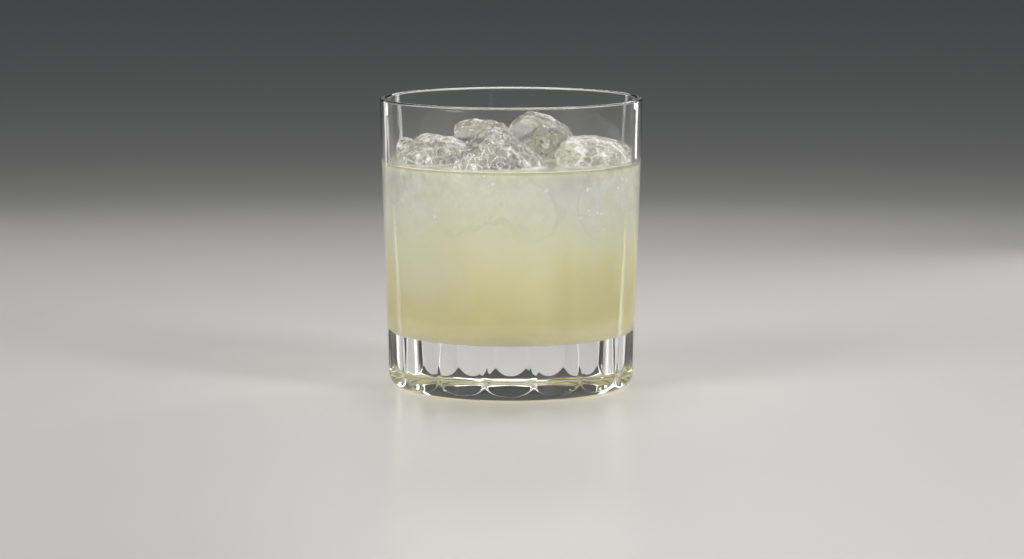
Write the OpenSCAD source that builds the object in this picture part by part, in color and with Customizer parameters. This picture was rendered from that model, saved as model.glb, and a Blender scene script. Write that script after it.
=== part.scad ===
/* [Glass] */
// Outer diameter at the rim
rim_d = 86; // [76:1:104]
// Height from the foot to the rim
glass_h = 95; // [79:1:115]
// Outer diameter that the straight wall would have at the floor
wall_foot_d = 81.2; // [72:0.1:90]
// Wall thickness at the rim
rim_t = 2.2; // [1.8:0.1:3]
// Wall thickness where the bowl ends
wall_low_t = 3.6; // [3.2:0.1:5]
// Thickness of the solid glass under the bowl
base_t = 17.5; // [12:0.5:22]
// Radius of the rounded corner between the bowl's wall and its floor
bowl_corner_r = 9; // [5:0.5:14]

/* [Foot] */
// Radius of the rounded heel
heel_r = 7.5; // [7:0.1:9]
// Height at which the heel leaves the wall
heel_z = 5.9; // [5:0.1:6.5]
// Diameter of the shallow hollow under the foot
punt_d = 56; // [40:1:64]
// Depth of that hollow
punt_h = 1.4; // [0.8:0.1:2.5]

/* [Flutes] */
// Number of flutes round the wall
flute_n = 16; // [12:1:20]
// Radius of the hollow that each flute is cut with
flute_r = 48; // [36:1:60]
// Depth of a flute's centre line below the wall at the foot
flute_depth = 1.35; // [0.8:0.05:1.6]
// Height at which the flutes run out into the round wall
flute_top_z = 80; // [50:1:90]
// Strips across a flute's hollow
flute_strips = 8; // [6:2:10]
// Turn of the flutes round the glass, in degrees
flute_turn = -0.9; // [-11:0.1:11]

/* [Drink] */
// Distance from the rim down to the drink
fill_drop = 21; // [18:0.5:40]

/* [Ice] */
// Clear space between two lumps
ice_gap = 0.4; // [0.2:0.1:1]
// Clear space between a lump and the glass
ice_wall_gap = 0.3; // [0.2:0.1:1]
// Share of a lump's reach that its worn hollows take away
ice_wear = 0.07; // [0:0.01:0.12]
// Facets round a lump
ice_steps = 22; // [16:2:30]

/* [Hidden] */
$fn = 96;
// Steps in a rounded corner of an outline
arc_steps = 12;
// Power that joins a lump's limits: a higher one leaves sharper edges
press_power = 10;

rim_r = rim_d / 2;
wall_foot_r = wall_foot_d / 2;
lip_r = rim_t / 2;
wall_slope = (rim_r - wall_foot_r) / (glass_h - lip_r);
wall_lean = atan(wall_slope);

// Outer radius of the plain wall at height z.
function wall_r(z) = wall_foot_r + wall_slope * z;

// Wall thickness at height z, which grows evenly from the rim down to the bowl's floor.
function wall_t(z) = rim_t + (wall_low_t - rim_t) * (glass_h - z) / (glass_h - base_t);

// Radius of the bowl at height z, above its rounded corner.
function bowl_r(z) = wall_r(z) - wall_t(z);

// Points of an arc round c, from angle a0 to angle a1.
function arc(c, r, a0, a1, n = arc_steps) =
    [for (i = [0 : n]) c + r * [cos(a0 + (a1 - a0) * i / n), sin(a0 + (a1 - a0) * i / n)]];

// Heel: an arc that leaves the wall at heel_z and meets the floor at a blunt angle.
heel_c = [wall_r(heel_z) - heel_r * cos(wall_lean), heel_z + heel_r * sin(wall_lean)];
heel_floor_a = -asin(heel_c[1] / heel_r);

// Hollow under the foot: an arc through the foot's inner edge and the hollow's top.
punt_r = (pow(punt_d / 2, 2) + pow(punt_h, 2)) / (2 * punt_h);
punt_half_a = asin(punt_d / 2 / punt_r);

// Bowl: its wall leans as the inner side does, and an arc joins the wall to the floor.
bowl_slope = (bowl_r(glass_h) - bowl_r(base_t)) / (glass_h - base_t);
bowl_lean = atan(bowl_slope);
bowl_corner_x = bowl_r(base_t) + bowl_slope * bowl_corner_r
    - bowl_corner_r / cos(bowl_lean);
bowl_corner_c = [bowl_corner_x, base_t + bowl_corner_r];

lip_c = [rim_r - lip_r, glass_h - lip_r];

// Half outline of the glass, from the middle of the foot round to the middle of the bowl.
glass_outline = concat(
    arc([0, punt_h - punt_r], punt_r, 90, 90 - punt_half_a, 6),
    arc(heel_c, heel_r, heel_floor_a, -wall_lean),
    arc(lip_c, lip_r, -wall_lean, 180 - bowl_lean),
    arc(bowl_corner_c, bowl_corner_r, -bowl_lean, -90),
    [[0, base_t]]);

// Half outline of the drink: the bowl up to the drink's level.
drink_z = glass_h - fill_drop;
drink_outline = concat(
    [[0, base_t]],
    arc(bowl_corner_c, bowl_corner_r, -90, -bowl_lean),
    [[bowl_r(drink_z), drink_z], [0, drink_z]]);

// A flute's cutter leans out so that it leaves the wall at flute_top_z.
flute_foot_r = wall_foot_r - flute_depth;
flute_slope = (wall_r(flute_top_z) - flute_foot_r) / flute_top_z;
flute_lean = atan(flute_slope);

// Lumps of ice as they float: where the middle stands, as shares of the bowl's radius at the
// drink's level and as a height over that level, then half sizes, turns about X, Y and Z,
// the sharpness of the edges and a seed for the worn hollows.
LUMPS = [
    [[-0.87,  0.13, -1.0], [ 5,  8,  8], [  0,   8,  10], 3.0, 11],
    [[-0.63, -0.10, -1.6], [12, 18, 10], [  6,  -4,  14], 3.2, 23],
    [[-0.25,  0.42, -0.2], [10.5, 10, 12], [  4,  -4, -14], 6.0, 37],
    [[ 0.22,  0.55,  0.0], [14, 11, 13], [ -6,  26,   8], 2.8, 41],
    [[-0.06, -0.44, -8.2], [19, 20, 16], [  8,  42,   2], 4.0, 59],
    [[ 0.29,  0.08, -1.2], [10,  9, 12], [  8,   8, -20], 3.0, 67],
    [[ 0.64, -0.26, -2.0], [12, 15, 10], [  6,  10, -12], 3.4, 73],
    [[ 0.86,  0.18, -2.0], [ 7, 10,  8], [  0, -12,   8], 2.8, 89]
];
lump_n = len(LUMPS);

function lump_centre(k) =
    [LUMPS[k][0][0] * bowl_r(drink_z), LUMPS[k][0][1] * bowl_r(drink_z), drink_z + LUMPS[k][0][2]];
function lump_half(k) = LUMPS[k][1];
function lump_turn(k) = LUMPS[k][2];
function lump_edge(k) = LUMPS[k][3];
function lump_seed(k) = LUMPS[k][4];
function lump_girth(k) = (lump_half(k)[0] + lump_half(k)[1]) / 2;

// A direction turned about X, Y or Z by a, and one turned back from the three angles t.
function turn_x(v, a) = [v[0], v[1] * cos(a) - v[2] * sin(a), v[1] * sin(a) + v[2] * cos(a)];
function turn_y(v, a) = [v[0] * cos(a) + v[2] * sin(a), v[1], v[2] * cos(a) - v[0] * sin(a)];
function turn_z(v, a) = [v[0] * cos(a) - v[1] * sin(a), v[0] * sin(a) + v[1] * cos(a), v[2]];
function turn_back(v, t) = turn_x(turn_y(turn_z(v, -t[2]), -t[1]), -t[0]);

function total(v, i = 0) = i < len(v) ? v[i] + total(v, i + 1) : 0;

// 1 / the distance along d from lump k's middle to the plane between it and lump j.
function neighbour_press(k, j, d) =
    let (way = lump_centre(j) - lump_centre(k))
    let (share = lump_girth(k) / (lump_girth(k) + lump_girth(j)))
    let (plane = norm(way) * share - ice_gap / 2)
    max(0, d * way / norm(way)) / plane;

// 1 / the distance along d from lump k's middle to the glass.
function wall_press(k, d) =
    let (c = lump_centre(k))
    let (low_z = max(base_t + bowl_corner_r, c[2] - 1.2 * max(lump_half(k))))
    let (room = bowl_r(low_z) - ice_wall_gap)
    let (a = d[0] * d[0] + d[1] * d[1])
    let (b = c[0] * d[0] + c[1] * d[1])
    let (left = room * room - c[0] * c[0] - c[1] * c[1])
    a == 0 ? 0 : a / (sqrt(b * b + a * left) - b);

// Worn hollows: a slow wave over the lump's directions, from 0 to 1.
function wear(d, s) =
    0.5 + 0.25 * sin(160 * d[0] + 9 * s) * cos(130 * d[1] + 5 * s)
    + 0.25 * sin(210 * d[2] + 90 * d[0] + 7 * s);

// Reach of lump k along direction d: its own six faces, the glass and its neighbours each
// give a limit, and the limits are joined by a power sum, which rounds the edges.
function lump_reach(k, d) =
    let (p = lump_edge(k), own = turn_back(d, lump_turn(k)), h = lump_half(k))
    let (faces = [for (i = [0 : 2]) pow(abs(own[i]) / h[i], p)])
    let (pressed = [for (j = [0 : lump_n - 1]) if (j != k) pow(neighbour_press(k, j, d), press_power)])
    let (outside = total(pressed) + pow(wall_press(k, d), press_power))
    let (joined = pow(pow(total(faces), press_power / p) + outside, 1 / press_power))
    (1 - ice_wear * wear(d, lump_seed(k))) / joined;

// Direction number i round the lump and number j down it, of 2 * rings steps.
function lump_way(i, j, rings) =
    let (round_a = 360 * (i + (j % 2) / 2) / ice_steps, down_a = 180 * j / rings)
    [sin(down_a) * cos(round_a), sin(down_a) * sin(round_a), cos(down_a)];

// A lump as one closed skin: a point at the top, rings of points down it and a point below.
module ice_lump(k) {
    n = ice_steps;
    rings = ice_steps / 2;
    c = lump_centre(k);
    top = [0, 0, 1];
    rows = [for (j = [1 : rings - 1]) for (i = [0 : n - 1])
        let (d = lump_way(i, j, rings)) c + lump_reach(k, d) * d];
    points = concat([c + lump_reach(k, top) * top], rows, [c - lump_reach(k, -top) * top]);
    last = len(points) - 1;
    sides = [for (j = [0 : rings - 3]) for (i = [0 : n - 1])
        let (a = 1 + j * n + i, b = 1 + j * n + (i + 1) % n)
        each j % 2 == 0 ? [[a, b, b + n], [a, b + n, a + n]] : [[a, b, a + n], [b, b + n, a + n]]];
    top_fan = [for (i = [0 : n - 1]) [0, 1 + (i + 1) % n, 1 + i]];
    low_fan = [for (i = [0 : n - 1]) [last, last - n + i, last - n + (i + 1) % n]];
    polyhedron(points, concat(top_fan, sides, low_fan), convexity = 4);
}

// A long prism whose near side follows the flute's hollow in even strips. It is a quarter wider
// than a flute's share of the rim, and it starts below the floor and ends over the rim.
module flute_cutter() {
    half_a = 1.25 * 180 / flute_n * rim_r / flute_r;
    start_r = flute_foot_r - flute_slope * heel_r;
    hollow = arc([flute_r, 0], flute_r, 180 - half_a, 180 + half_a, flute_strips);
    back = 2 * rim_r * sin(180 / flute_n);
    translate([start_r, 0, -heel_r])
        rotate([0, flute_lean, 0])
            linear_extrude(glass_h + 2 * heel_r)
                polygon(concat(hollow, [[back, -back], [back, back]]));
}

module glass() {
    color([0.86, 0.90, 0.89, 0.35])
        difference() {
            rotate_extrude() polygon(glass_outline);
            for (i = [0 : flute_n - 1])
                rotate([0, 0, -90 + flute_turn + 360 * i / flute_n]) flute_cutter();
        }
}

module drink() {
    color([0.82, 0.80, 0.64])
        difference() {
            rotate_extrude() polygon(drink_outline);
            for (k = [0 : lump_n - 1]) ice_lump(k);
        }
}

module ice_far_left() { color([0.80, 0.81, 0.74]) ice_lump(0); }
module ice_left() { color([0.80, 0.81, 0.74]) ice_lump(1); }
module ice_back_left() { color([0.74, 0.75, 0.68]) ice_lump(2); }
module ice_back() { color([0.70, 0.71, 0.65]) ice_lump(3); }
module ice_front() { color([0.82, 0.82, 0.75]) ice_lump(4); }
module ice_mid_right() { color([0.72, 0.73, 0.68]) ice_lump(5); }
module ice_right() { color([0.80, 0.81, 0.74]) ice_lump(6); }
module ice_far_right() { color([0.80, 0.79, 0.70]) ice_lump(7); }

glass();
drink();
ice_far_left();
ice_left();
ice_back_left();
ice_back();
ice_front();
ice_mid_right();
ice_right();
ice_far_right();
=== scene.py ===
import math
import bpy
import numpy as np
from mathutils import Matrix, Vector


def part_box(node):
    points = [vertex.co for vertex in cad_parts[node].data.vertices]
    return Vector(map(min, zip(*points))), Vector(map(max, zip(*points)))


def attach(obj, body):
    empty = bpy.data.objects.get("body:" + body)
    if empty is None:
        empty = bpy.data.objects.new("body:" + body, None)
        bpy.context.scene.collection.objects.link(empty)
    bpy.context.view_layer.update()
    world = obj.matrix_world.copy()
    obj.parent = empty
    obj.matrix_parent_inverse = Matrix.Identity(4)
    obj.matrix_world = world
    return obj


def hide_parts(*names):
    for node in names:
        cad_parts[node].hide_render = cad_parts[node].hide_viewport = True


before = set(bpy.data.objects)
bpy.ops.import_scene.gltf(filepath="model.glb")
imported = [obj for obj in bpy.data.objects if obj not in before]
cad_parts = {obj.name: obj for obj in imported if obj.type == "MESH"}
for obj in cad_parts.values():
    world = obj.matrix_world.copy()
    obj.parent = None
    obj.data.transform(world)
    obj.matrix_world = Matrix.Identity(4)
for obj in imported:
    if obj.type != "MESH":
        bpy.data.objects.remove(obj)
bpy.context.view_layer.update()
mm = 0.001


# sizes taken from the frame, in millimetres
def boxOf(node):
    low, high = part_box(node)
    return np.array(low) / mm, np.array(high) / mm


glassLow, glassHigh = boxOf("glass")
drinkLow, drinkHigh = boxOf("drink")
rimRadius = (glassHigh[0] - glassLow[0]) / 2
glassHeight = glassHigh[2] - glassLow[2]
bowlFloor = drinkLow[2]
drinkLevel = drinkHigh[2]


# small helpers
def rgb(code):
    # sRGB hex to linear: v / 12.92 below 0.04045, ((v + 0.055) / 1.055) ** 2.4 above it
    parts = np.array([int(code[i:i + 2], 16) for i in (1, 3, 5)]) / 255
    linear = np.where(parts <= 0.04045, parts / 12.92, ((parts + 0.055) / 1.055) ** 2.4)
    return (*linear.tolist(), 1.0)


def addNode(material, kind, settings=None, links=None):
    # one node with its settings, input values and incoming links
    node = material.node_tree.nodes.new(kind)
    for key, value in (settings or {}).items():
        if isinstance(key, str) and hasattr(node, key):
            setattr(node, key, value)
        else:
            node.inputs[key].default_value = value
    for key, source in (links or {}).items():
        material.node_tree.links.new(source, node.inputs[key])
    return node


def newMaterial(name):
    material = bpy.data.materials.new(name)
    material.use_nodes = True
    material.node_tree.nodes.clear()
    return material


def closeMaterial(material, shader):
    addNode(material, "ShaderNodeOutputMaterial", links={"Surface": shader})
    return material


def closeClear(material, shader, shadowColour):
    # a clear piece: lamps shine straight through it, tinted by the shadow colour
    through = addNode(material, "ShaderNodeBsdfTransparent", {"Color": rgb(shadowColour)})
    ray = addNode(material, "ShaderNodeLightPath")
    mix = addNode(material, "ShaderNodeMixShader",
                  links={0: ray.outputs["Is Shadow Ray"], 1: shader, 2: through.outputs["BSDF"]})
    return closeMaterial(material, mix.outputs["Shader"])


def addPiece(name, points, quads, triangles, material):
    # a mesh piece at the origin from whole arrays, points in millimetres
    mesh = bpy.data.meshes.new(name)
    quads = np.asarray(quads, np.int32).reshape(-1, 4)
    triangles = np.asarray(triangles, np.int32).reshape(-1, 3)
    corners = np.concatenate([quads.ravel(), triangles.ravel()])
    sizes = np.concatenate([np.full(len(quads), 4), np.full(len(triangles), 3)])
    starts = np.concatenate([[0], np.cumsum(sizes)[:-1]])
    mesh.vertices.add(len(points))
    mesh.vertices.foreach_set("co", (np.asarray(points) * mm).astype(np.float32).ravel())
    mesh.loops.add(len(corners))
    mesh.loops.foreach_set("vertex_index", corners.astype(np.int32))
    mesh.polygons.add(len(sizes))
    mesh.polygons.foreach_set("loop_start", starts.astype(np.int32))
    mesh.polygons.foreach_set("use_smooth", np.ones(len(sizes), bool))
    mesh.update(calc_edges=True)
    mesh.validate()
    piece = bpy.data.objects.new(name, mesh)
    bpy.context.scene.collection.objects.link(piece)
    mesh.materials.append(material)
    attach(piece, "root")
    return piece


def ringQuads(rows, around, outward=True):
    # quads between neighbouring rings of a rows x around grid that closes on itself
    i, j = np.meshgrid(np.arange(rows - 1), np.arange(around), indexing="ij")
    nextJ = (j + 1) % around
    quads = np.stack([i * around + j, i * around + nextJ,
                      (i + 1) * around + nextJ, (i + 1) * around + j], -1).reshape(-1, 4)
    return quads if outward else quads[:, ::-1]


def poleFans(rows, around, first, last, outward=True):
    # triangles from the two pole points to the first and the last ring
    j = np.arange(around)
    nextJ = (j + 1) % around
    start = np.stack([np.full(around, first), nextJ, j], -1)
    base = (rows - 1) * around
    end = np.stack([np.full(around, last), base + j, base + nextJ], -1)
    fans = np.concatenate([start, end])
    return fans if outward else fans[:, ::-1]


def repeated(faces, pointsEach, count):
    # the same faces again for each of count copies that follow one another in the point list
    return (faces[None] + (np.arange(count) * pointsEach)[:, None, None]).reshape(-1, faces.shape[1])


def waves(points, scale, seed, count=10, gain=1.8):
    # slow noise of about -1 to 1: the mean of sines whose crests run in random directions, times gain
    rng = np.random.default_rng(seed)
    ways = rng.normal(size=(count, 3))
    ways /= np.linalg.norm(ways, axis=1)[:, None]
    lengths = scale * rng.uniform(0.7, 1.5, count)
    starts = rng.uniform(0, 2 * math.pi, count)
    return np.sin(points @ (ways / lengths[:, None]).T * 2 * math.pi + starts).mean(-1) * gain


# the sine hash: each cube's corner times mixing, through sin, times spread, leaves a random fraction
hashMixing = np.array([[127.1, 311.7, 74.7], [269.5, 183.3, 246.1], [113.5, 271.9, 124.6]])
hashSpread = 43758.5453
hollowTightness = 1.6


def dimples(points, cell, seed):
    # 1 in the middle of each round hollow, 0 on the ridges between them: 1 - tightness * (distance to
    # the nearest centre / cell) squared, one centre in each cube of a grid, moved about in it by the hash
    base = np.floor(points / cell)
    nearest = np.full(points.shape[:-1], np.inf)
    for step in np.stack(np.meshgrid(*[[-1, 0, 1]] * 3), -1).reshape(-1, 3):
        cube = base + step
        moved = np.sin(cube @ hashMixing + seed) * hashSpread
        centre = (cube + 0.1 + 0.8 * (moved - np.floor(moved))) * cell
        nearest = np.minimum(nearest, ((points - centre) ** 2).sum(-1))
    return np.clip(1 - nearest / cell ** 2 * hollowTightness, 0, 1)


def softMin(a, b, blend):
    # the smaller of two values, rounded where they are within blend of each other
    near = np.clip(1 - np.abs(a - b) / blend, 0, 1)
    return np.minimum(a, b) - near * near * blend / 4


# camera: place in mm, degrees looked down, lens and sensor in mm, how far it sees in metres
camera = dict(across=0.25, back=1290, height=200.5, down=7.32, lens=138.97, sensor=36, farthest=40)


def placeCamera():
    data = bpy.data.cameras.new("viewCamera")
    data.lens = camera["lens"]
    data.sensor_width = camera["sensor"]
    data.clip_end = camera["farthest"]
    holder = bpy.data.objects.new("viewCamera", data)
    holder.location = (camera["across"] * mm, -camera["back"] * mm, camera["height"] * mm)
    holder.rotation_euler = (math.radians(90 - camera["down"]), 0, 0)
    bpy.context.scene.collection.objects.link(holder)
    bpy.context.scene.camera = holder


# the floor lies a twentieth of a millimetre under the foot; each lamp has its place and aim in metres,
# width and height in metres, watts, colour and the spread of its grid in degrees
studio = dict(
    floorRadius=9.0, floorSteps=96, floorDrop=0.00005, floorColour="#efede8", floorRoughness=(0.32, 0.42),
    worldColour="#8b8f93", worldStrength=0.22, bounces=24,
    lamps=dict(
        keySoftbox=((-0.78, -0.70, 0.60), (0, 0, 0.04), (0.5, 0.45), 3.28, "#fffdfa", 136),
        fillSoftbox=((0.82, -0.62, 0.52), (0, 0, 0.04), (0.3, 0.5), 2.80, "#f9faff", 136),
        topSoftbox=((0.0, 0.25, 0.80), (0, 0, 0.06), (0.5, 0.4), 0.70, "#ffffff", 100),
        backSoftbox=((0.06, 0.62, 0.36), (0, 0, 0.09), (0.36, 0.12), 0.22, "#ffffff", 120),
        leftStrip=((-0.36, 0.48, 0.22), (0, 0, 0.08), (0.06, 0.45), 0.10, "#ffffff", 120),
        rightStrip=((0.26, 0.31, 0.23), (0, 0, 0.08), (0.05, 0.44), 0.15, "#ffffff", 120)))


def areaLight(name, place, target, size, power, colour, spread):
    data = bpy.data.lights.new(name, "AREA")
    data.shape = "RECTANGLE"
    data.size, data.size_y = size
    data.energy = power
    data.color = rgb(colour)[:3]
    data.spread = math.radians(spread)
    lamp = bpy.data.objects.new(name, data)
    lamp.location = place
    aim = Vector(np.array(target) - np.array(place))
    lamp.rotation_euler = aim.to_track_quat("-Z", "Y").to_euler()
    bpy.context.scene.collection.objects.link(lamp)


def buildStudio():
    # satin paint: pale, with a soft sheen that changes slowly over the floor
    floorPaint = newMaterial("satinStudioFloor")
    least, most = studio["floorRoughness"]
    noise = addNode(floorPaint, "ShaderNodeTexNoise", {"Scale": 3.0, "Detail": 3.0})
    tone = addNode(floorPaint, "ShaderNodeMapRange", {"To Min": least, "To Max": most},
                   {"Value": noise.outputs["Fac"]})
    shader = addNode(floorPaint, "ShaderNodeBsdfPrincipled",
                     {"Base Color": rgb(studio["floorColour"]), "Specular IOR Level": 0.3},
                     {"Roughness": tone.outputs["Result"]})
    closeMaterial(floorPaint, shader.outputs["BSDF"])
    around = studio["floorSteps"]
    turn = np.linspace(0, 2 * math.pi, around, endpoint=False)
    edge = np.stack([np.cos(turn), np.sin(turn), 0 * turn], -1) * studio["floorRadius"]
    mesh = bpy.data.meshes.new("studioFloor")
    mesh.from_pydata(np.vstack([edge, [[0, 0, 0]]]).tolist(), [],
                     [(i, (i + 1) % around, around) for i in range(around)])
    floor = bpy.data.objects.new("studioFloor", mesh)
    floor.location.z = -studio["floorDrop"]
    mesh.materials.append(floorPaint)
    bpy.context.scene.collection.objects.link(floor)
    world = bpy.data.worlds.new("studioWorld")
    bpy.context.scene.world = world
    world.use_nodes = True
    sky = world.node_tree.nodes["Background"]
    sky.inputs["Color"].default_value = rgb(studio["worldColour"])
    sky.inputs["Strength"].default_value = studio["worldStrength"]
    for name, numbers in studio["lamps"].items():
        areaLight(name, *numbers)


placeCamera()
buildStudio()
bpy.context.scene.view_settings.view_transform = "Standard"
for limit in ("max_bounces", "transmission_bounces", "transparent_max_bounces"):
    setattr(bpy.context.scene.cycles, limit, studio["bounces"])
print("studio ready")


# the glass
glassShape = dict(
    lipFlat=0.62,                            # the lip's round is this much lower than a half circle
    rimWall=2.2, lowWall=3.6,                # wall thickness at the rim and at the bowl's floor
    wallFootRadius=40.6,                     # the straight wall carried down to the floor
    bowlCorner=9.0,                          # rounded corner in the bowl
    heelRadius=7.5, heelHeight=5.9,          # rounded heel and where it leaves the wall
    puntRadius=28.0, puntHeight=1.4,         # shallow hollow underneath
    fluteCount=16, fluteHollow=48.0, fluteDepth=1.35, fluteTop=80.0, fluteTurn=-0.9,
    ridgeRound=0.12,                         # fire polishing rounds the ridges by this much
    stepsPerFlute=30, puntSteps=10, footSteps=3, heelSteps=36, wallSteps=56, lipSteps=20,
    bowlSteps=34, cornerSteps=16, floorSteps=8, poleRadius=0.5)


def wallRadius(z):
    # straight line from the foot to the widest place of the lip
    g = glassShape
    rise = (rimRadius - g["wallFootRadius"]) / (glassHeight - g["rimWall"] / 2)
    return g["wallFootRadius"] + rise * z


def bowlRadius(z):
    # outer wall less a thickness that grows evenly from the rim to the bowl's floor
    g = glassShape
    thick = g["rimWall"] + (g["lowWall"] - g["rimWall"]) * (glassHeight - z) / (glassHeight - bowlFloor)
    return wallRadius(z) - thick


def arcPoints(centre, radius, fromAngle, toAngle, count):
    # count points of an arc, both ends included, angles in degrees
    a = np.radians(np.linspace(fromAngle, toAngle, count))
    return np.stack([centre[0] + radius * np.cos(a), centre[1] + radius * np.sin(a)], -1)


def linePoints(start, end, count):
    # count points strictly between two ends, crowded towards both so that smooth shading keeps the
    # straight part straight: t = (1 - cos(pi k / (count + 1))) / 2
    t = (1 - np.cos(math.pi * (np.arange(count) + 1)[:, None] / (count + 1))) / 2
    return np.array(start) * (1 - t) + np.array(end) * t


def bowlOutline(steps):
    # rounded inner corner, from the wall down to the floor
    g = glassShape
    slope = (bowlRadius(glassHeight) - bowlRadius(bowlFloor)) / (glassHeight - bowlFloor)
    lean = math.degrees(math.atan(slope))
    corner = g["bowlCorner"]
    centreX = bowlRadius(bowlFloor) + slope * corner - corner / math.cos(math.radians(lean))
    return arcPoints((centreX, bowlFloor + corner), corner, -lean, -90, steps), lean


def glassOutline():
    g = glassShape
    # from the pole underneath round the heel, the wall, the lip and the bowl to the pole of its floor
    lean = math.degrees(math.atan((wallRadius(1) - wallRadius(0))))
    heelX = wallRadius(g["heelHeight"]) - g["heelRadius"] * math.cos(math.radians(lean))
    heelZ = g["heelHeight"] + g["heelRadius"] * math.sin(math.radians(lean))
    floorAngle = -math.degrees(math.asin(heelZ / g["heelRadius"]))
    puntArc = (g["puntRadius"] ** 2 + g["puntHeight"] ** 2) / (2 * g["puntHeight"])
    puntAngle = math.degrees(math.asin(g["puntRadius"] / puntArc))
    puntMiddle = (0, g["puntHeight"] - puntArc)
    under = arcPoints(puntMiddle, puntArc, 90, 90 - puntAngle, g["puntSteps"])[1:]
    heel = arcPoints((heelX, heelZ), g["heelRadius"], floorAngle, -lean, g["heelSteps"])
    lipR = g["rimWall"] / 2
    corner, bowlLean = bowlOutline(g["cornerSteps"])
    lip = arcPoints((rimRadius - lipR, 0), lipR, -lean, 180 - bowlLean, g["lipSteps"])
    lip[:, 1] = glassHeight + (lip[:, 1] - lipR) * g["lipFlat"]
    return np.concatenate([
        under, linePoints(under[-1], heel[0], g["footSteps"]), heel,
        linePoints(heel[-1], lip[0], g["wallSteps"]), lip,
        linePoints(lip[-1], corner[0], g["bowlSteps"]), corner,
        linePoints(corner[-1], (g["poleRadius"], bowlFloor), g["floorSteps"])]), g["puntHeight"]


def buildGlass(material):
    # outline turned round the axis; outside, the radius is the smaller of the wall and the flute:
    # D cos a - sqrt(R^2 - D^2 sin^2 a), with a the angle from the flute's middle line
    g = glassShape
    outline, puntTop = glassOutline()
    around = g["fluteCount"] * g["stepsPerFlute"]
    turn = 2 * math.pi * np.arange(around) / around + math.radians(g["fluteTurn"] - 90)
    step = 2 * math.pi / g["fluteCount"]
    fromMiddle = (turn - math.radians(g["fluteTurn"] - 90) + step / 2) % step - step / 2
    r, z = outline[:, 0][:, None], outline[:, 1][:, None]
    footNear = g["wallFootRadius"] - g["fluteDepth"]
    near = footNear + (wallRadius(g["fluteTop"]) - footNear) / g["fluteTop"] * z
    middle = near + g["fluteHollow"]
    reach = np.sqrt(g["fluteHollow"] ** 2 - (middle * np.sin(fromMiddle)) ** 2)
    hollow = middle * np.cos(fromMiddle) - reach
    widest = int(np.argmax(outline[:, 0]))
    outside = (np.arange(len(outline)) <= widest)[:, None]
    radius = np.where(outside, softMin(r + 0 * hollow, hollow, g["ridgeRound"]), r)
    points = np.stack([radius * np.cos(turn), radius * np.sin(turn), z + 0 * hollow], -1).reshape(-1, 3)
    rows = len(outline)
    points = np.vstack([points, [[0, 0, puntTop], [0, 0, bowlFloor]]])
    piece = addPiece("glassTumbler", points, ringQuads(rows, around),
                     poleFans(rows, around, len(points) - 2, len(points) - 1), material)
    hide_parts("glass")


glassLook = dict(body="#fdfdfd", shade="#f8f8f7", ior=1.5, rippleSize=14, rippleDepth=1.0, ripple=0.06)


def clearGlass():
    # soda-lime glass, pressed and fire polished: clear and hard, with faint unevenness that bends
    # the highlights; lamps shine through it
    look = glassLook
    material = newMaterial("sodaLimeGlass")
    place = addNode(material, "ShaderNodeTexCoord")
    ripple = addNode(material, "ShaderNodeTexNoise", {"Scale": 1 / (look["rippleSize"] * mm), "Detail": 1.0},
                     {"Vector": place.outputs["Object"]})
    bump = addNode(material, "ShaderNodeBump",
                   {"Strength": look["ripple"], "Distance": look["rippleDepth"] * mm},
                   {"Height": ripple.outputs["Fac"]})
    shader = addNode(material, "ShaderNodeBsdfPrincipled",
                     {"Base Color": rgb(look["body"]), "Roughness": 0.0, "IOR": look["ior"],
                      "Transmission Weight": 1.0},
                     {"Normal": bump.outputs["Normal"]})
    return closeClear(material, shader.outputs["BSDF"], look["shade"])


buildGlass(clearGlass())
print("glass ready")


# the ice that floats: where each lump's middle stands (shares of the bowl's radius, then mm over the
# level), half sizes in mm, turns about X, Y and Z in degrees, sharpness of its edges, a seed, how deep
# its surface is dimpled and which kind of ice it is
floatingIce = {
    "ice_far_left": ((-0.87, 0.13, -1.0), (5, 8, 8), (0, 8, 10), 3.0, 11, 0.7, "frosted"),
    "ice_left": ((-0.63, -0.10, -1.6), (12, 18, 10), (6, -4, 14), 3.2, 23, 0.9, "frosted"),
    "ice_back_left": ((-0.25, 0.42, -0.2), (10.5, 10, 12), (4, -4, -14), 6.0, 37, 1.3, "clear"),
    "ice_back": ((0.22, 0.55, 0.0), (14, 11, 13), (-6, 26, 8), 2.8, 41, 0.9, "clear"),
    "ice_front": ((-0.06, -0.44, -8.2), (19, 20, 16), (8, 42, 2), 4.0, 59, 1.1, "frosted"),
    "ice_mid_right": ((0.29, 0.08, -1.2), (10, 9, 12), (8, 8, -20), 3.0, 67, 1.3, "clear"),
    "ice_right": ((0.64, -0.26, -2.0), (12, 15, 10), (6, 10, -12), 3.4, 73, 1.1, "frosted"),
    "ice_far_right": ((0.86, 0.18, -2.0), (7, 10, 8), (0, -12, 8), 2.8, 89, 0.4, "frosted")}
# the ice that has gone under, in the same order; it lies close behind the glass and shows there
sunkIce = {
    "sunkLeft": ((-0.66, -0.60, -11.0), (11, 8, 9), (10, 20, 30), 3.2, 103, 0.8, "frosted"),
    "sunkLowLeft": ((-0.60, -0.60, -30.0), (10, 8, 10), (0, -14, 20), 3.2, 139, 0.8, "frosted"),
    "sunkRight": ((0.70, -0.58, -10.0), (9, 8, 8), (0, -24, -30), 3.0, 107, 0.8, "frosted"),
    "sunkFarRight": ((0.80, 0.42, -15.0), (9, 10, 10), (14, 0, 40), 3.4, 109, 0.8, "frosted"),
    "sunkBack": ((0.10, 0.78, -17.0), (13, 8, 9), (8, 12, 0), 3.2, 113, 0.8, "frosted"),
    "sunkBackLeft": ((-0.62, 0.60, -14.0), (11, 9, 10), (-10, 8, -40), 3.6, 127, 0.8, "frosted"),
    "sunkFarLeft": ((-0.84, 0.0, -19.0), (8, 11, 9), (6, 0, 0), 3.0, 131, 0.8, "frosted")}
everyLump = {**floatingIce, **sunkIce}
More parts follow.
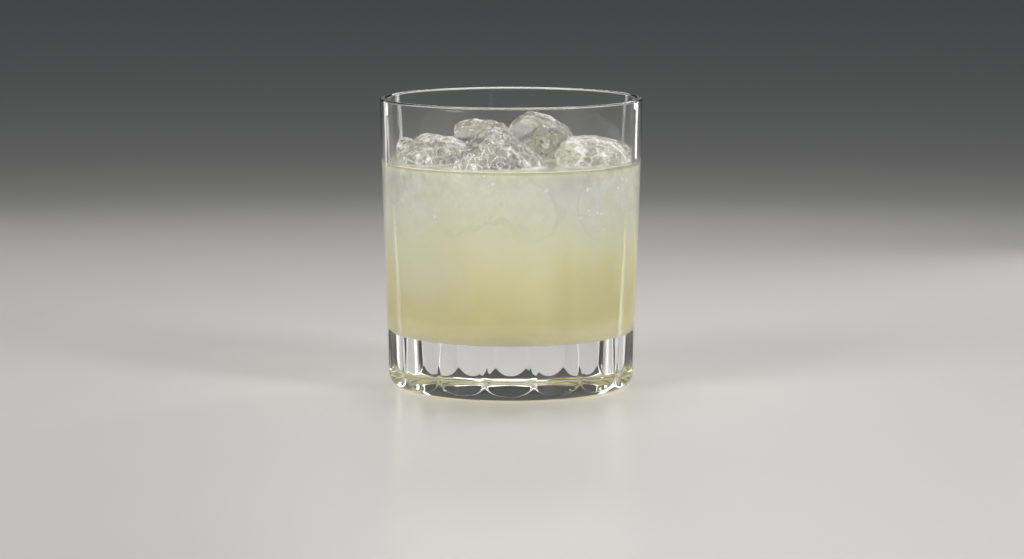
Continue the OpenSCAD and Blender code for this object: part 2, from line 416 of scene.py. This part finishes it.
# lengths in mm; depths of chips and wear are shares of the reach
iceLook = dict(around=160, rings=104, gap=0.4, wallGap=0.3, pressPower=16, chips=12, chipDepth=0.06,
               wear=0.03, wearSize=13, swell=0.45, dimple=4.8, dimpleDepth=0.75, pock=2.2, pockDepth=0.16,
               sunkAround=110, sunkRings=72, sunkBehind=0.35, overFloor=0.5, farthest=90)


def turnMatrix(angles):
    # turns about X, then Y, then Z
    x, y, z = np.radians(angles)
    aboutX = np.array([[1, 0, 0], [0, np.cos(x), -np.sin(x)], [0, np.sin(x), np.cos(x)]])
    aboutY = np.array([[np.cos(y), 0, np.sin(y)], [0, 1, 0], [-np.sin(y), 0, np.cos(y)]])
    aboutZ = np.array([[np.cos(z), -np.sin(z), 0], [np.sin(z), np.cos(z), 0], [0, 0, 1]])
    return aboutZ @ aboutY @ aboutX


def lumpCentre(name):
    share = everyLump[name][0]
    bowl = bowlRadius(drinkLevel)
    return np.array([share[0] * bowl, share[1] * bowl, drinkLevel + share[2]])


def wallReach(centre, ways, extra):
    # distance to the glass along each way: the far root of |centre + way * far| = bowl radius, seen from
    # above; the radius at the height where the way meets the leaning wall takes three rounds of trying
    a = ways[..., 0] ** 2 + ways[..., 1] ** 2 + 1e-12
    b = ways[..., 0] * centre[0] + ways[..., 1] * centre[1]
    far = 0 * a + 10
    for _ in range(3):
        height = np.clip(centre[2] + ways[..., 2] * far, bowlFloor + glassShape["bowlCorner"], glassHeight)
        room = bowlRadius(height) + extra
        left = room ** 2 - centre[0] ** 2 - centre[1] ** 2
        far = np.clip((np.sqrt(b * b + a * left) - b) / a, 0, iceLook["farthest"])
    return far


def lumpReach(name, ways):
    # 1 / reach is a power sum of the limits 1 / distance that the lump's own faces, its chipped
    # corners, the glass and its neighbours set along each direction; dimples are then taken off
    _, half, angles, edge, seed, relief, _ = everyLump[name]
    look = iceLook
    half = np.array(half) + look["swell"] * relief
    centre = lumpCentre(name)
    power = look["pressPower"]
    rng = np.random.default_rng(seed)
    own = ways @ turnMatrix(angles)
    faces = (np.abs(own) / half) ** edge
    total = faces.sum(-1) ** (power / edge)
    chips = rng.normal(size=(look["chips"], 3)) + [0, 0, 0.5]
    chips /= np.linalg.norm(chips, axis=1)[:, None]
    chipReach = ((np.abs(chips) / half) ** edge).sum(-1) ** (-1 / edge)
    chipReach *= 1 - look["chipDepth"] * rng.uniform(0.3, 1.6, look["chips"])
    total += (np.clip(own @ chips.T, 0, None) / chipReach) ** power @ np.ones(look["chips"])
    girth = sum(everyLump[name][1][:2])      # two lumps share the gap between them by their girths
    others = floatingIce if name in floatingIce else everyLump
    for other in others:
        if other != name:
            way = lumpCentre(other) - centre
            gapAt = np.linalg.norm(way)
            plane = gapAt * girth / (girth + sum(everyLump[other][1][:2])) - look["gap"] / 2
            total += (np.clip(ways @ way / gapAt, 0, None) / plane) ** power
    if name in floatingIce:
        total += wallReach(centre, ways, -look["wallGap"]) ** -power
    reach = total ** (-1 / power)
    spot = ways * reach[..., None] + centre
    worn = 0.5 + 0.5 * waves(spot, look["wearSize"], seed)
    reach = reach * (1 - look["wear"] * worn)
    reach = reach - relief * look["dimpleDepth"] * dimples(spot, look["dimple"], seed + 1)
    reach = reach - relief * look["pockDepth"] * dimples(spot, look["pock"], seed + 2)
    if name in sunkIce:
        reach = softMin(reach, wallReach(centre, ways, -look["sunkBehind"]), 0.5)
        toFloor = centre[2] - bowlFloor - look["overFloor"]
        reach = np.minimum(reach, toFloor / np.clip(-ways[..., 2], 1e-3, None))
    return reach


def wayGrid(around, rings):
    # directions on rings from straight up to straight down, then the two poles
    down = math.pi * np.arange(1, rings) / rings
    turn = 2 * math.pi * np.arange(around) / around
    ways = np.stack([np.sin(down)[:, None] * np.cos(turn), np.sin(down)[:, None] * np.sin(turn),
                     np.cos(down)[:, None] + 0 * turn], -1)
    return np.vstack([ways.reshape(-1, 3), [[0, 0, 1.0], [0, 0, -1.0]]])


def buildLump(name, pieceName, around, rings, material):
    # centre + way * reach(way) over the whole ball of ways
    ways = wayGrid(around, rings)
    points = lumpCentre(name) + ways * lumpReach(name, ways)[:, None]
    fans = poleFans(rings - 1, around, len(points) - 2, len(points) - 1, False)
    return addPiece(pieceName, points, ringQuads(rings - 1, around, False), fans, material)


def buildIce(materials):
    look = iceLook
    for name, numbers in floatingIce.items():
        pieceName = "ice" + "".join(word.capitalize() for word in name.split("_")[1:])
        piece = buildLump(name, pieceName, look["around"], look["rings"], materials[numbers[-1]])
        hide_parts(name)
    for name in sunkIce:
        buildLump(name, name, look["sunkAround"], look["sunkRings"], materials["sunk"])


# cracks and bubbles in each lump, fewer in clear ice; sizes are half widths in mm
insideIce = dict(sheets=5, clearSheets=1, sheetRings=6, sheetAround=18, sheetThick=0.10,
                 sheetSize=(2.0, 5.5), sheetBend=1.1, sheetBendSize=7, insideShare=0.94,
                 bubbles=150, clearBubbles=30, bubbleSize=(0.10, 0.38), needleShare=0.25,
                 needleStretch=5.0, needleSlim=0.45, seed=7)


def insidePoints(name, count, rng, fullness):
    # random places inside a lump: centre + way * reach * a share that fills the volume evenly
    ways = rng.normal(size=(count, 3))
    ways /= np.linalg.norm(ways, axis=1)[:, None]
    share = fullness * rng.uniform(0.05, 1, count) ** (1 / 3)
    return lumpCentre(name) + ways * (lumpReach(name, ways) * share)[:, None]


def buildSheets(material):
    # closed flat lenses: centre + rho R (cos t, sin t) in the sheet's plane, R wavy round its edge, bent
    # by slow waves, the two faces apart by thick (1 - rho^2); pulled in where they would leave the lump
    s = insideIce
    rng = np.random.default_rng(s["seed"])
    rings, around = s["sheetRings"], s["sheetAround"]
    rho = np.concatenate([np.arange(1, rings + 1), np.arange(rings - 1, 0, -1)]) / rings
    side = np.sign(rings - 0.5 - np.arange(len(rho)))
    side[rings - 1] = 0
    turn = 2 * math.pi * np.arange(around) / around
    everything = []
    for name, numbers in floatingIce.items():
        sheets = s["clearSheets"] if numbers[-1] == "clear" else s["sheets"]
        centres = insidePoints(name, sheets, rng, 0.7)
        normals = rng.normal(size=(sheets, 3))
        normals /= np.linalg.norm(normals, axis=1)[:, None]
        across = np.cross(normals, rng.normal(size=(sheets, 3)))
        across /= np.linalg.norm(across, axis=1)[:, None]
        along = np.cross(normals, across)
        size = rng.uniform(*s["sheetSize"], sheets)[:, None]
        edge = size * (1 + 0.3 * np.sin(turn * 2 + centres[:, :1])
                       + 0.15 * np.sin(turn * 5 + centres[:, 1:2]))
        out = rho[None, :, None] * edge[:, None, :]
        flat = out[..., None] * (np.cos(turn)[:, None] * across[:, None, None]
                                 + np.sin(turn)[:, None] * along[:, None, None])
        ring = centres[:, None, None] + flat
        poles = np.repeat(centres[:, None], 2, 1)
        middle = np.concatenate([ring.reshape(sheets, -1, 3), poles], 1)
        lift = np.concatenate([np.repeat(side * (1 - rho ** 2), around), [1, -1]]) * s["sheetThick"] / 2
        bend = s["sheetBend"] * waves(middle, s["sheetBendSize"], s["seed"] + 1)
        points = middle + normals[:, None] * (lift + bend)[..., None]
        centre = lumpCentre(name)
        away = points - centre
        length = np.linalg.norm(away, axis=-1, keepdims=True) + 1e-9
        limit = lumpReach(name, (away / length).reshape(-1, 3)).reshape(length.shape)
        kept = np.minimum(1, limit * s["insideShare"] / length)
        everything.append((centre + away * kept).reshape(-1, 3))
    points = np.concatenate(everything)
    each = len(rho) * around + 2
    count = len(points) // each
    quads = repeated(ringQuads(len(rho), around), each, count)
    fans = repeated(poleFans(len(rho), around, each - 2, each - 1), each, count)
    addPiece("iceCracks", points, quads, fans, material)


def buildBubbles(material):
    # the same small twenty-sided ball at many places, some drawn out into needles
    s = insideIce
    rng = np.random.default_rng(s["seed"] + 5)
    g = (1 + 5 ** 0.5) / 2
    ball = np.array([(-1, g, 0), (1, g, 0), (-1, -g, 0), (1, -g, 0), (0, -1, g), (0, 1, g),
                     (0, -1, -g), (0, 1, -g), (g, 0, -1), (g, 0, 1), (-g, 0, -1), (-g, 0, 1)])
    ball /= np.linalg.norm(ball[0])
    faces = np.array([(0, 11, 5), (0, 5, 1), (0, 1, 7), (0, 7, 10), (0, 10, 11), (1, 5, 9), (5, 11, 4),
                      (11, 10, 2), (10, 7, 6), (7, 1, 8), (3, 9, 4), (3, 4, 2), (3, 2, 6), (3, 6, 8),
                      (3, 8, 9), (4, 9, 5), (2, 4, 11), (6, 2, 10), (8, 6, 7), (9, 8, 1)])
    counts = {name: s["clearBubbles" if numbers[-1] == "clear" else "bubbles"]
              for name, numbers in floatingIce.items()}
    places = np.concatenate([insidePoints(name, n, rng, 0.9) for name, n in counts.items()])
    count = len(places)
    size = rng.uniform(*s["bubbleSize"], count) * rng.uniform(0.5, 1, count)
    ways = rng.normal(size=(count, 3)) * [0.6, 0.6, 1.0]
    ways /= np.linalg.norm(ways, axis=1)[:, None]
    drawn = np.where(rng.uniform(size=count) < s["needleShare"], s["needleStretch"], 1.0)
    slim = np.where(drawn > 1, s["needleSlim"], 1.0)[:, None, None]
    alongWay = (ball[None] * ways[:, None]).sum(-1, keepdims=True)
    shape = (ball[None] + (drawn[:, None, None] - 1) * alongWay * ways[:, None]) * slim
    points = places[:, None] + shape * size[:, None, None]
    addPiece("iceBubbles", points.reshape(-1, 3), [], repeated(faces, 12, count), material)


# how each kind of ice looks: how much of its face is milky, how strong its hair cracks and specks are,
# its own colour, what it lets through to a shadow and how gritty it is
iceKinds = dict(
    clear=dict(name="wetClearIce", frost=0.0, lines=0.35, specks=0.25, body="#e0e0dd", shade="#d8d8d4",
               grit=0.2),
    frosted=dict(name="wetFrostedIce", frost=0.6, lines=0.7, specks=0.8, body="#f7f6f2", shade="#cecdc8",
                 grit=0.55),
    sunk=dict(name="sunkenIce", frost=1.0, lines=0.7, specks=0.8, body="#f7f6f2", shade="#b6b5b0",
              grit=0.45))
# sizes of the patterns on ice in mm
icePattern = dict(ior=1.31, bendSize=4, bendPush=2.4, milk=5, cracks=4.2, crackWidth=0.035, specks=0.95,
                  speckShare=0.45, facets=2.6, grain=1.1, grainShare=0.7, gritDepth=0.4, milkRoughness=0.30)


def meltingIce(name, frost, lines, specks, body, shade, grit):
    # tap-water ice that melts in the drink: IOR 1.31, wet, with white frost patches, hair cracks and
    # specks of trapped air that stop the light
    look = icePattern
    material = newMaterial(name)
    place = addNode(material, "ShaderNodeTexCoord")
    warp = addNode(material, "ShaderNodeTexNoise", {"Scale": 1 / (look["bendSize"] * mm), "Detail": 2.0},
                   {"Vector": place.outputs["Object"]})
    push = addNode(material, "ShaderNodeVectorMath",
                   {"operation": "SCALE", "Scale": look["bendPush"] * mm}, {0: warp.outputs["Color"]})
    bent = addNode(material, "ShaderNodeVectorMath", {"operation": "ADD"},
                   {0: place.outputs["Object"], 1: push.outputs["Vector"]})
    patch = addNode(material, "ShaderNodeTexNoise",
                    {"Scale": 1 / (look["milk"] * mm), "Detail": 5.0, "Roughness": 0.65},
                    {"Vector": place.outputs["Object"]})
    milk = addNode(material, "ShaderNodeMapRange",
                   {"From Min": 0.62 - 0.17 * frost, "From Max": 0.70 - 0.14 * frost,
                    "To Max": 0.3 + 0.6 * frost},
                   {"Value": patch.outputs["Fac"]})
    crack = addNode(material, "ShaderNodeTexVoronoi",
                    {"feature": "DISTANCE_TO_EDGE", "Scale": 1 / (look["cracks"] * mm)},
                    {"Vector": bent.outputs["Vector"]})
    hair = addNode(material, "ShaderNodeMapRange",
                   {"From Max": look["crackWidth"], "To Min": lines, "To Max": 0.0},
                   {"Value": crack.outputs["Distance"]})
    cell = addNode(material, "ShaderNodeTexVoronoi", {"feature": "F1", "Scale": 1 / (look["specks"] * mm)},
                   {"Vector": bent.outputs["Vector"]})
    dot = addNode(material, "ShaderNodeMapRange",
                  {"From Min": 0.20, "From Max": 0.28, "To Min": specks, "To Max": 0.0},
                  {"Value": cell.outputs["Distance"]})
    chance = addNode(material, "ShaderNodeSeparateColor", links={"Color": cell.outputs["Color"]})
    chosen = addNode(material, "ShaderNodeMath", {"operation": "GREATER_THAN", 1: 1 - look["speckShare"]},
                     {0: chance.outputs["Red"]})
    speck = addNode(material, "ShaderNodeMath", {"operation": "MULTIPLY"},
                    {0: dot.outputs["Result"], 1: chosen.outputs["Value"]})
    veined = addNode(material, "ShaderNodeMath", {"operation": "MAXIMUM"},
                     {0: milk.outputs["Result"], 1: hair.outputs["Result"]})
    white = addNode(material, "ShaderNodeMath", {"operation": "MAXIMUM"},
                    {0: veined.outputs["Value"], 1: speck.outputs["Value"]})
    clear = addNode(material, "ShaderNodeMath", {"operation": "SUBTRACT", 0: 1.0},
                    {1: white.outputs["Value"]})
    rough = addNode(material, "ShaderNodeMapRange",
                    {"From Max": 0.7, "To Min": 0.0, "To Max": look["milkRoughness"]},
                    {"Value": white.outputs["Value"]})
    facet = addNode(material, "ShaderNodeTexVoronoi", {"feature": "F1", "Scale": 1 / (look["facets"] * mm)},
                    {"Vector": bent.outputs["Vector"]})
    grain = addNode(material, "ShaderNodeTexNoise", {"Scale": 1 / (look["grain"] * mm), "Detail": 3.0},
                    {"Vector": place.outputs["Object"]})
    height = addNode(material, "ShaderNodeMath", {"operation": "MULTIPLY_ADD", 1: look["grainShare"]},
                     {0: grain.outputs["Fac"], 2: facet.outputs["Distance"]})
    bump = addNode(material, "ShaderNodeBump", {"Strength": grit, "Distance": look["gritDepth"] * mm},
                   {"Height": height.outputs["Value"]})
    shader = addNode(material, "ShaderNodeBsdfPrincipled", {"Base Color": rgb(body), "IOR": look["ior"]},
                     {"Normal": bump.outputs["Normal"], "Roughness": rough.outputs["Result"],
                      "Transmission Weight": clear.outputs["Value"]})
    return closeClear(material, shader.outputs["BSDF"], shade)


# the films and beads of air in the ice: own colour, what they let through to a shadow, pattern size in mm
airLook = dict(film="#f4f5f2", filmShade="#eceeea", filmPatch=1.8, filmMost=0.7,
               bead="#fafaf7", beadShade="#f0f1ee", beadPatch=6, beadRoughness=(0.03, 0.2))


def crackFilm():
    # air in a crack: a silvery half-clear film with feathered patches
    look = airLook
    material = newMaterial("airInCrack")
    place = addNode(material, "ShaderNodeTexCoord")
    noise = addNode(material, "ShaderNodeTexNoise", {"Scale": 1 / (look["filmPatch"] * mm), "Detail": 4.0},
                    {"Vector": place.outputs["Object"]})
    cover = addNode(material, "ShaderNodeMapRange",
                    {"From Min": 0.50, "From Max": 0.60, "To Min": 0.0, "To Max": look["filmMost"]},
                    {"Value": noise.outputs["Fac"]})
    shader = addNode(material, "ShaderNodeBsdfPrincipled",
                     {"Base Color": rgb(look["film"]), "Roughness": 0.15, "IOR": 1.45,
                      "Transmission Weight": 0.35},
                     {"Alpha": cover.outputs["Result"]})
    return closeClear(material, shader.outputs["BSDF"], look["filmShade"])


def bubbleSkin():
    # trapped air seen through ice: small bright beads
    look = airLook
    material = newMaterial("trappedAir")
    least, most = look["beadRoughness"]
    place = addNode(material, "ShaderNodeTexCoord")
    noise = addNode(material, "ShaderNodeTexNoise", {"Scale": 1 / (look["beadPatch"] * mm)},
                    {"Vector": place.outputs["Object"]})
    tone = addNode(material, "ShaderNodeMapRange", {"To Min": least, "To Max": most},
                   {"Value": noise.outputs["Fac"]})
    shader = addNode(material, "ShaderNodeBsdfPrincipled",
                     {"Base Color": rgb(look["bead"]), "IOR": 1.4, "Transmission Weight": 0.4},
                     {"Roughness": tone.outputs["Result"]})
    return closeClear(material, shader.outputs["BSDF"], look["beadShade"])


buildIce({kind: meltingIce(**look) for kind, look in iceKinds.items()})
buildSheets(crackFilm())
buildBubbles(bubbleSkin())
print("ice ready")


# the drink: lengths in mm; it reaches a little into the glass, rises at the glass and round each lump,
# and its skin goes a little into the floating lumps
drinkShape = dict(intoWall=0.15, around=480, sideSteps=92, cornerSteps=14, underSteps=8, topStep=0.45,
                  underPole=0.5, topPole=0.3, roomShare=1.5, roomExtra=6, meniscus=0.3,
                  meniscusReach=1.0, lumpMeniscus=0.8, lumpReach=1.1, shrink=0.35, deepestHollow=6.0,
                  halvings=11, ghostFade=5.0)


def fromLump(name, points):
    # distance outside a lump's surface, along the line to its middle; negative inside
    away = points - lumpCentre(name)
    length = np.linalg.norm(away, axis=-1)
    return length - lumpReach(name, away / length[:, None])


def nearRoom(name, points):
    # only points within this lump's own size of its middle need working out
    room = drinkShape["roomShare"] * max(everyLump[name][1]) + drinkShape["roomExtra"]
    return np.linalg.norm(points - lumpCentre(name), axis=-1) < room


def topHeight(points):
    # the level, with a rise at the glass and round each lump that fades as exp(-distance / reach), and
    # a hollow under each lump that follows the lump's lower face, found by halving the height
    d = drinkShape
    wallTop = bowlRadius(drinkLevel) + d["intoWall"]
    toWall = wallTop - np.hypot(points[:, 0], points[:, 1])
    height = drinkLevel + d["meniscus"] * np.exp(-toWall / d["meniscusReach"])
    for name in floatingIce:
        close = np.flatnonzero(nearRoom(name, points))
        spot = points[close].copy()
        spot[:, 2] = drinkLevel
        gap = fromLump(name, spot) + d["shrink"]
        height[close] += np.where(gap > 0, d["lumpMeniscus"] * np.exp(-np.abs(gap) / d["lumpReach"]), 0)
        inside = close[gap < 0]
        low = np.full(len(inside), bowlFloor + d["deepestHollow"])
        high = np.full(len(inside), drinkLevel)
        for _ in range(d["halvings"]):
            spot = points[inside].copy()
            spot[:, 2] = (low + high) / 2
            within = fromLump(name, spot) + d["shrink"] < 0
            high = np.where(within, spot[:, 2], high)
            low = np.where(within, low, spot[:, 2])
        height[inside] = (low + high) / 2
    return height


def buildDrink(material, topMaterial):
    # the bowl's outline moved into the wall, then the top's radii, turned round the axis; the heights of
    # the top come from topHeight, and each point carries exp(-distance to the nearest ice / fade)
    d = drinkShape
    corner, _ = bowlOutline(d["cornerSteps"])
    into = d["intoWall"]
    up = np.clip((corner[:, 1:] - bowlFloor) / glassShape["bowlCorner"], 0, 1)
    corner = corner + [[into, 0]] * up - [[0, into]] * (1 - up)
    edgeTop = drinkLevel + d["meniscus"]
    wallTop = (bowlRadius(edgeTop) + into, edgeTop)
    under = linePoints((d["underPole"], bowlFloor - into), corner[-1], d["underSteps"])
    side = linePoints(corner[0], wallTop, d["sideSteps"])
    topR = np.arange(wallTop[0], d["topPole"], -d["topStep"])
    topZ = 0 * topR + drinkLevel
    outline = np.concatenate([under, corner[::-1], side, np.stack([topR, topZ], -1)])
    around = d["around"]
    turn = 2 * math.pi * np.arange(around) / around
    r, z = outline[:, 0][:, None], outline[:, 1][:, None]
    points = np.stack([r * np.cos(turn), r * np.sin(turn), z + 0 * turn], -1).reshape(-1, 3)
    rows = len(outline)
    points = np.vstack([points, [[0, 0, bowlFloor - into], [0, 0, drinkLevel]]])
    firstTop = (rows - len(topR)) * around
    top = np.r_[firstTop:rows * around, len(points) - 1]
    points[top, 2] = topHeight(points[top])
    ghost = np.zeros(len(points))
    for name in everyLump:
        close = np.flatnonzero(nearRoom(name, points))
        behind = np.clip(fromLump(name, points[close]), 0, None)
        ghost[close] = np.maximum(ghost[close], np.exp(-behind / d["ghostFade"]))
    piece = addPiece("drinkBody", points, ringQuads(rows, around),
                     poleFans(rows, around, len(points) - 2, len(points) - 1), material)
    piece.data.materials.append(topMaterial)
    layer = piece.data.attributes.new("iceBehind", "FLOAT", "POINT")
    layer.data.foreach_set("value", ghost.astype(np.float32))
    onTop = np.zeros(len(piece.data.polygons), np.int32)
    onTop[firstTop:(rows - 1) * around] = 1
    onTop[-around:] = 1
    piece.data.polygons.foreach_set("material_index", onTop)
    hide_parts("drink")


# colours from the bowl's floor (0) to the level (1), the last one darker as painted shade, then the tints
# laid over them one after another: ice behind the glass, its outline, painted glints, painted shade and
# painted light
drinkTints = dict(stops=[(0.0, "#d6cf9b"), (0.19, "#d1cb99"), (0.4, "#d9d5a9"), (0.57, "#dedbba"),
                         (0.81, "#d7d8c7"), (0.97, "#c1c1b6")],
                  ghost="#e2e3dd", outline="#b6b7a6", glint="#ffffff", paintedHollowShade="#8e8d80",
                  paintedFloorCornerLight="#fff7d2", ghostShare=0.85, seeThrough=0.10, outlineShare=0.22,
                  glintShare=0.85)
# pattern sizes in mm, the IOR of a thin sugar and alcohol mix, how far light strays in it
drinkPattern = dict(cloud=24, grain=3.2, swirl=1.6, swirlPush=1.2, glint=1.3, clump=6, ghostDepth=(26, 14),
                    ior=1.34, stray=5, strayByColour=(1.0, 0.95, 0.6))


def cloudyDrink(name, roughness, edgeShade, hollowShadeShare):
    # lime juice, liqueur and tequila shaken cloudy: scatters light inside, whiter higher up, yellower towards
    # the bottom and with painted shade just under the level, paler where ice lies close behind the glass,
    # with small painted glints there; edgeShade is painted shade on the thin edge at the level, and the last
    # argument sets the painted shade in the hollows under the ice
    look, tints = drinkPattern, drinkTints
    material = newMaterial(name)
    place = addNode(material, "ShaderNodeTexCoord")
    xyz = addNode(material, "ShaderNodeSeparateXYZ", links={0: place.outputs["Object"]})
    # the colour by height, moved up and down by slow clouds; the last stop, just under the level, is darker
    # as painted shade
    depth = addNode(material, "ShaderNodeMapRange", {"From Min": bowlFloor * mm, "From Max": drinkLevel * mm},
                    {"Value": xyz.outputs["Z"]})
    cloud = addNode(material, "ShaderNodeTexNoise", {"Scale": 1 / (look["cloud"] * mm), "Detail": 3.0},
                    {"Vector": place.outputs["Object"]})
    drift = addNode(material, "ShaderNodeMath", {"operation": "MULTIPLY_ADD", 1: 0.5},
                    {0: cloud.outputs["Fac"], 2: depth.outputs["Result"]})
    shift = addNode(material, "ShaderNodeMath", {"operation": "SUBTRACT", 1: 0.25},
                    {0: drift.outputs["Value"]})
    ramp = addNode(material, "ShaderNodeValToRGB", links={"Fac": shift.outputs["Value"]})
    for i, (at, code) in enumerate(tints["stops"]):
        stop = ramp.color_ramp.elements[i] if i < 2 else ramp.color_ramp.elements.new(at)
        stop.position, stop.color = at, rgb(code)
    # shares by height: painted shade on the thin edge and in the hollows under the ice, painted light at the
    # bowl's floor
    # painted shade: the drink is multiplied darker by edgeShade from just under the level upwards
    edge = addNode(material, "ShaderNodeMapRange",
                   {"From Min": (drinkLevel - 0.9) * mm, "From Max": (drinkLevel - 0.1) * mm,
                    "To Max": 0.75},
                   {"Value": xyz.outputs["Z"]})
    # painted shade: the hollows under the floating ice are mixed towards a dark olive grey
    under = addNode(material, "ShaderNodeMapRange",
                    {"From Min": (drinkLevel - 3.0) * mm, "From Max": (drinkLevel - 0.3) * mm,
                     "To Min": hollowShadeShare, "To Max": 0.0},
                    {"Value": xyz.outputs["Z"]})
    # painted light: a pale cream mixed in towards the bowl's floor, where the drink's corner curves under
    bottom = addNode(material, "ShaderNodeMapRange",
                     {"From Min": (bowlFloor + 0.5) * mm, "From Max": (bowlFloor + 8) * mm,
                      "To Min": 0.95, "To Max": 0.0},
                     {"Value": xyz.outputs["Z"]})
    # how much ice shows through: mottled near the level, even and weaker lower down
    low, high = look["ghostDepth"]
    near = addNode(material, "ShaderNodeAttribute", {"attribute_name": "iceBehind"})
    grain = addNode(material, "ShaderNodeTexNoise",
                    {"Scale": 1 / (look["grain"] * mm), "Detail": 4.0, "Roughness": 0.6},
                    {"Vector": place.outputs["Object"]})
    mottle = addNode(material, "ShaderNodeMapRange",
                     {"From Min": 0.38, "From Max": 0.66, "To Min": 0.1, "To Max": 1.15},
                     {"Value": grain.outputs["Fac"]})
    upper = addNode(material, "ShaderNodeMapRange",
                    {"From Min": (drinkLevel - low) * mm, "From Max": (drinkLevel - high) * mm},
                    {"Value": xyz.outputs["Z"]})
    veil = addNode(material, "ShaderNodeMix", {"data_type": "FLOAT", "A": 0.5},
                   {"Factor": upper.outputs["Result"], "B": mottle.outputs["Result"]})
    ghost = addNode(material, "ShaderNodeMath", {"operation": "MULTIPLY"},
                    {0: near.outputs["Fac"], 1: veil.outputs["Result"]})
    share = addNode(material, "ShaderNodeMath",
                    {"operation": "MULTIPLY", 1: tints["ghostShare"], "use_clamp": True},
                    {0: ghost.outputs["Value"]})
    seen = addNode(material, "ShaderNodeMath",
                   {"operation": "MULTIPLY", 1: tints["seeThrough"], "use_clamp": True},
                   {0: ghost.outputs["Value"]})
    # painted glints: small uneven white dots in clumps, only near ice in the upper part
    swirl = addNode(material, "ShaderNodeTexNoise", {"Scale": 1 / (look["swirl"] * mm), "Detail": 1.0},
                    {"Vector": place.outputs["Object"]})
    push = addNode(material, "ShaderNodeVectorMath",
                   {"operation": "SCALE", "Scale": look["swirlPush"] * mm}, {0: swirl.outputs["Color"]})
    bent = addNode(material, "ShaderNodeVectorMath", {"operation": "ADD"},
                   {0: place.outputs["Object"], 1: push.outputs["Vector"]})
    glint = addNode(material, "ShaderNodeTexVoronoi", {"feature": "F1", "Scale": 1 / (look["glint"] * mm)},
                    {"Vector": bent.outputs["Vector"]})
    chance = addNode(material, "ShaderNodeSeparateColor", links={"Color": glint.outputs["Color"]})
    smaller = addNode(material, "ShaderNodeMapRange", {"To Min": 0.7, "To Max": 3.2},
                      {"Value": chance.outputs["Red"]})
    sized = addNode(material, "ShaderNodeMath", {"operation": "MULTIPLY"},
                    {0: glint.outputs["Distance"], 1: smaller.outputs["Result"]})
    dot = addNode(material, "ShaderNodeMapRange",
                  {"From Min": 0.10, "From Max": 0.42, "To Min": 1.0, "To Max": 0.0},
                  {"Value": sized.outputs["Value"]})
    clump = addNode(material, "ShaderNodeTexNoise", {"Scale": 1 / (look["clump"] * mm), "Detail": 3.0},
                    {"Vector": place.outputs["Object"]})
    where = addNode(material, "ShaderNodeMapRange", {"From Min": 0.50, "From Max": 0.62},
                    {"Value": clump.outputs["Fac"]})
    closeIce = addNode(material, "ShaderNodeMapRange",
                       {"From Min": 0.22, "From Max": 0.45, "To Max": tints["glintShare"]},
                       {"Value": near.outputs["Fac"]})
    spark = dot.outputs["Result"]
    for limit in (where, closeIce, upper):
        both = addNode(material, "ShaderNodeMath", {"operation": "MULTIPLY"},
                       {0: spark, 1: limit.outputs["Result"]})
        spark = both.outputs["Value"]
    # a thin line round each ghost, where the attribute passes one value
    onLine = addNode(material, "ShaderNodeMath", {"operation": "COMPARE", 1: 0.36, 2: 0.02},
                     {0: near.outputs["Fac"]})
    lineHigh = addNode(material, "ShaderNodeMath", {"operation": "MULTIPLY"},
                       {0: onLine.outputs["Value"], 1: upper.outputs["Result"]})
    line = addNode(material, "ShaderNodeMath", {"operation": "MULTIPLY", 1: tints["outlineShare"]},
                   {0: lineHigh.outputs["Value"]})
    colour = ramp.outputs["Color"]
    # layers: ice seen behind the glass, its outline, painted glints, painted shade at the edge and in the
    # hollows, painted light at the bowl's floor
    layers = ((tints["ghost"], share.outputs["Value"], "MIX"),
              (tints["outline"], line.outputs["Value"], "MIX"),
              (tints["glint"], spark, "MIX"),
              (edgeShade, edge.outputs["Result"], "MULTIPLY"),
              (tints["paintedHollowShade"], under.outputs["Result"], "MIX"),
              (tints["paintedFloorCornerLight"], bottom.outputs["Result"], "MIX"))
    for code, amount, blend in layers:
        laid = addNode(material, "ShaderNodeMix",
                       {"data_type": "RGBA", "blend_type": blend, "B": rgb(code)},
                       {"Factor": amount, "A": colour})
        colour = laid.outputs["Result"]
    shader = addNode(material, "ShaderNodeBsdfPrincipled",
                     {"Roughness": roughness, "IOR": look["ior"], "Subsurface Weight": 1.0,
                      "Subsurface Radius": look["strayByColour"], "Subsurface Scale": look["stray"] * mm},
                     {"Base Color": colour, "Transmission Weight": seen.outputs["Value"]})
    return closeMaterial(material, shader.outputs["BSDF"])


# the wall and the top: the same drink with different roughness and different amounts of painted shade
buildDrink(cloudyDrink("cloudyLimeDrink", 0.35, "#a8a48c", 0.0),
           cloudyDrink("cloudyLimeDrinkTop", 0.22, "#d4d2c2", 0.08))
print("drink ready")
